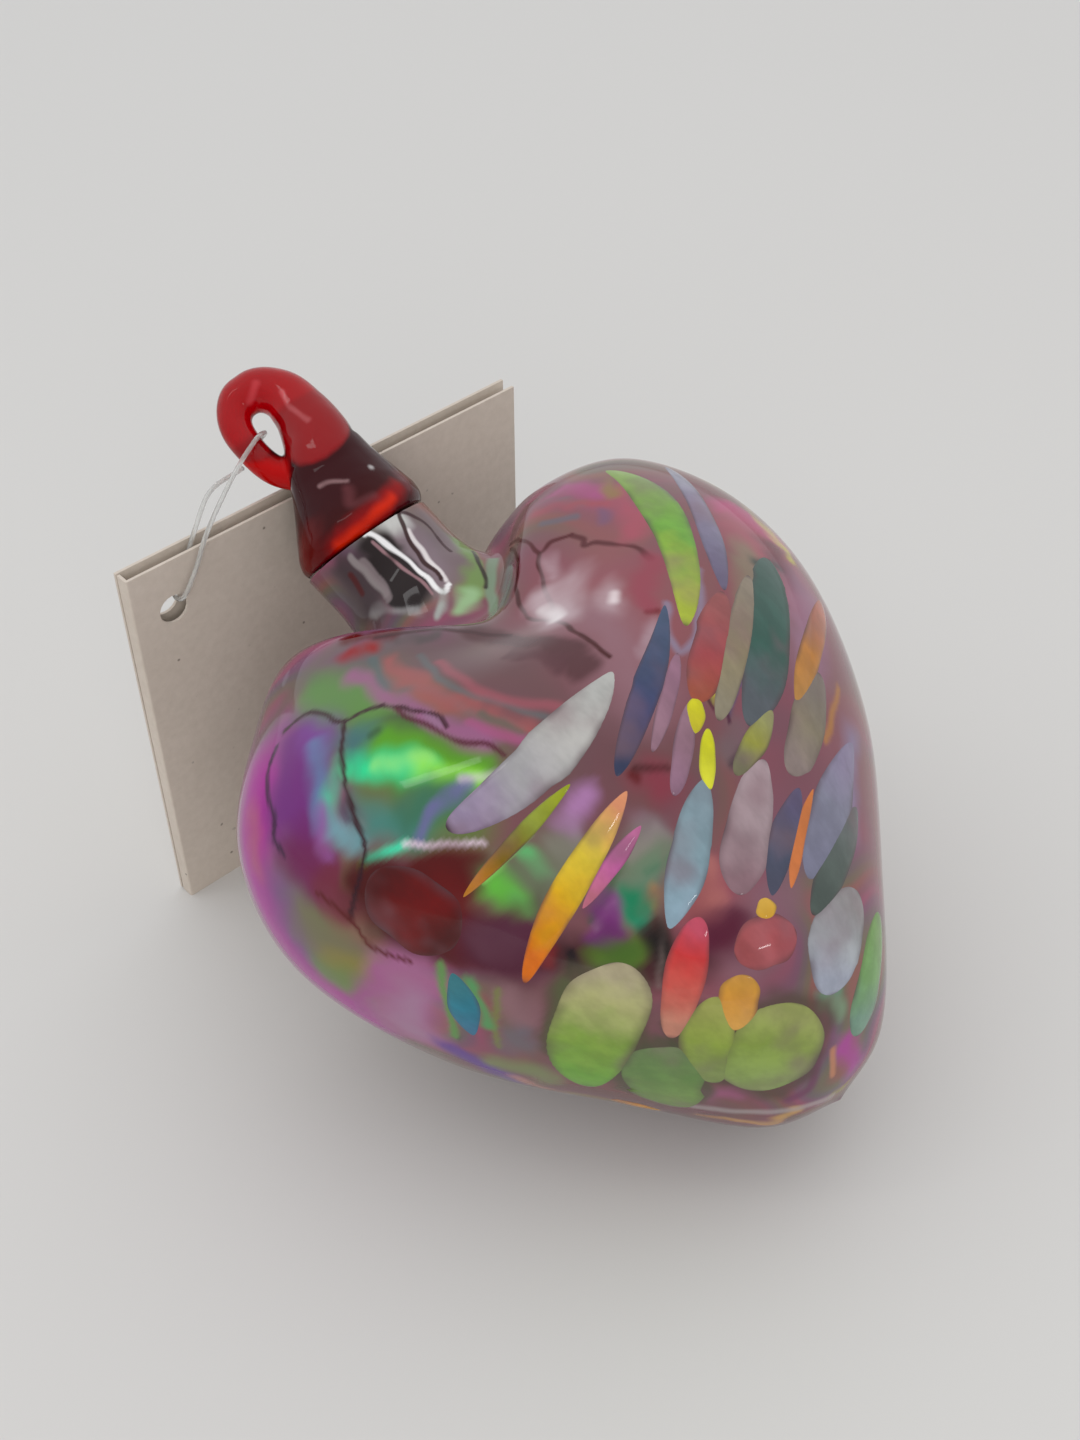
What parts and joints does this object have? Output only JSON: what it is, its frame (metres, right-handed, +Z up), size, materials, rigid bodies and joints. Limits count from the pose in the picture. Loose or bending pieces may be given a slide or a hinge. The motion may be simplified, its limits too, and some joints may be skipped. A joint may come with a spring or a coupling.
{
  "type": "hanging glass heart ornament",
  "caption": "Hollow blown-glass heart with coloured glass chips in its wall, a red glass hanging loop, and a folded paper tag on a clear string.",
  "frame": {"origin": "under the middle of the part, on the surface that it lies on, measured without the string", "axes": "+Y along the heart from its tip towards its neck and loop, +X to the heart's right lobe seen from above with the neck away, +Z up"},
  "size_m": [0.0774, 0.0996, 0.0695],
  "materials": {
    "heart_glass": "smooth, glossy blown glass, dusky rose, with a thin iridescent surface",
    "red_glass": "smooth, glossy, deep red transparent glass",
    "white_streak": "glossy coloured glass, slightly raised, with a thin iridescent surface",
    "olive_streak": "glossy coloured glass, slightly raised, with a thin iridescent surface",
    "orange_streak": "glossy coloured glass, slightly raised, with a thin iridescent surface",
    "pink_streak": "glossy coloured glass, slightly raised, with a thin iridescent surface",
    "light_blue_streak": "glossy coloured glass, slightly raised, with a thin iridescent surface",
    "slate_streak": "glossy coloured glass, slightly raised, with a thin iridescent surface",
    "mauve_streak": "glossy coloured glass, slightly raised, with a thin iridescent surface",
    "rose_streak": "glossy coloured glass, slightly raised, with a thin iridescent surface",
    "lilac_thread": "glossy coloured glass, slightly raised, with a thin iridescent surface",
    "lime_arc": "glossy coloured glass, slightly raised, with a thin iridescent surface",
    "red_patch": "glossy coloured glass, slightly raised, with a thin iridescent surface",
    "yellow_fleck": "glossy coloured glass, slightly raised, with a thin iridescent surface",
    "yellow_oval": "glossy coloured glass, slightly raised, with a thin iridescent surface",
    "olive_band": "glossy coloured glass, slightly raised, with a thin iridescent surface",
    "teal_patch": "glossy coloured glass, slightly raised, with a thin iridescent surface",
    "olive_fleck": "glossy coloured glass, slightly raised, with a thin iridescent surface",
    "amber_streak": "glossy coloured glass, slightly raised, with a thin iridescent surface",
    "grey_olive_oval": "glossy coloured glass, slightly raised, with a thin iridescent surface",
    "rose_grey_oval": "glossy coloured glass, slightly raised, with a thin iridescent surface",
    "navy_streak": "glossy coloured glass, slightly raised, with a thin iridescent surface",
    "orange_thread": "glossy coloured glass, slightly raised, with a thin iridescent surface",
    "lilac_oval": "glossy coloured glass, slightly raised, with a thin iridescent surface",
    "grey_green_streak": "glossy coloured glass, slightly raised, with a thin iridescent surface",
    "pale_blue_oval": "glossy coloured glass, slightly raised, with a thin iridescent surface",
    "green_edge_streak": "glossy coloured glass, slightly raised, with a thin iridescent surface",
    "yellow_nub": "glossy coloured glass, slightly raised, with a thin iridescent surface",
    "red_pebble": "glossy coloured glass, slightly raised, with a thin iridescent surface",
    "red_peach_streak": "glossy coloured glass, slightly raised, with a thin iridescent surface",
    "lime_disc": "glossy coloured glass, slightly raised, with a thin iridescent surface",
    "lime_bead": "glossy coloured glass, slightly raised, with a thin iridescent surface",
    "orange_oval": "glossy coloured glass, slightly raised, with a thin iridescent surface",
    "green_pebble": "glossy coloured glass, slightly raised, with a thin iridescent surface",
    "cream_green_drop": "glossy coloured glass, slightly raised, with a thin iridescent surface",
    "orange_base": "glossy coloured glass, slightly raised, with a thin iridescent surface",
    "garnet_patch": "glossy coloured glass, slightly raised, with a thin iridescent surface",
    "teal_crescent": "glossy coloured glass, slightly raised, with a thin iridescent surface",
    "card_front": "matte uncoated grey-beige paper with small dark fibres",
    "card_back": "matte uncoated grey-beige paper with small dark fibres",
    "clear_nylon": "clear, smooth nylon"
  },
  "bodies": {
    "heart": {"heart_body": "heart_glass", "cap_loop": "red_glass", "white_streak": "white_streak", "olive_streak": "olive_streak", "orange_streak": "orange_streak", "pink_streak": "pink_streak", "light_blue_streak": "light_blue_streak", "slate_streak": "slate_streak", "mauve_streak": "mauve_streak", "rose_streak": "rose_streak", "lilac_thread": "lilac_thread", "lime_arc": "lime_arc", "red_patch": "red_patch", "yellow_fleck": "yellow_fleck", "yellow_oval": "yellow_oval", "olive_band": "olive_band", "teal_patch": "teal_patch", "olive_fleck": "olive_fleck", "amber_streak": "amber_streak", "grey_olive_oval": "grey_olive_oval", "rose_grey_oval": "rose_grey_oval", "navy_streak": "navy_streak", "orange_thread": "orange_thread", "lilac_oval": "lilac_oval", "grey_green_streak": "grey_green_streak", "pale_blue_oval": "pale_blue_oval", "green_edge_streak": "green_edge_streak", "yellow_nub": "yellow_nub", "red_pebble": "red_pebble", "red_peach_streak": "red_peach_streak", "lime_disc": "lime_disc", "lime_bead": "lime_bead", "orange_oval": "orange_oval", "green_pebble": "green_pebble", "cream_green_drop": "cream_green_drop", "orange_base": "orange_base", "garnet_patch": "garnet_patch", "teal_crescent": "teal_crescent", "tag_string": "clear_nylon"},
    "tag_front": {"tag_front_leaf": "card_front"},
    "tag_back": {"tag_back_leaf": "card_back"}
  },
  "joints": [
    {"name": "tag_swing", "type": "hinge", "parent": "heart", "child": "tag_front", "pos_m": [-0.0049, 0.0429, 0.06185], "axis": [0.9997, -0.0244, 0], "range_deg": [0, 68], "deforming": ["tag_string"]},
    {"name": "tag_fold", "type": "hinge", "parent": "tag_front", "child": "tag_back", "pos_m": [-0.02751, 0.04323, 0.02807], "axis": [-0.002, -0.0802, 0.9968], "range_deg": [0, 175]}
  ]
}
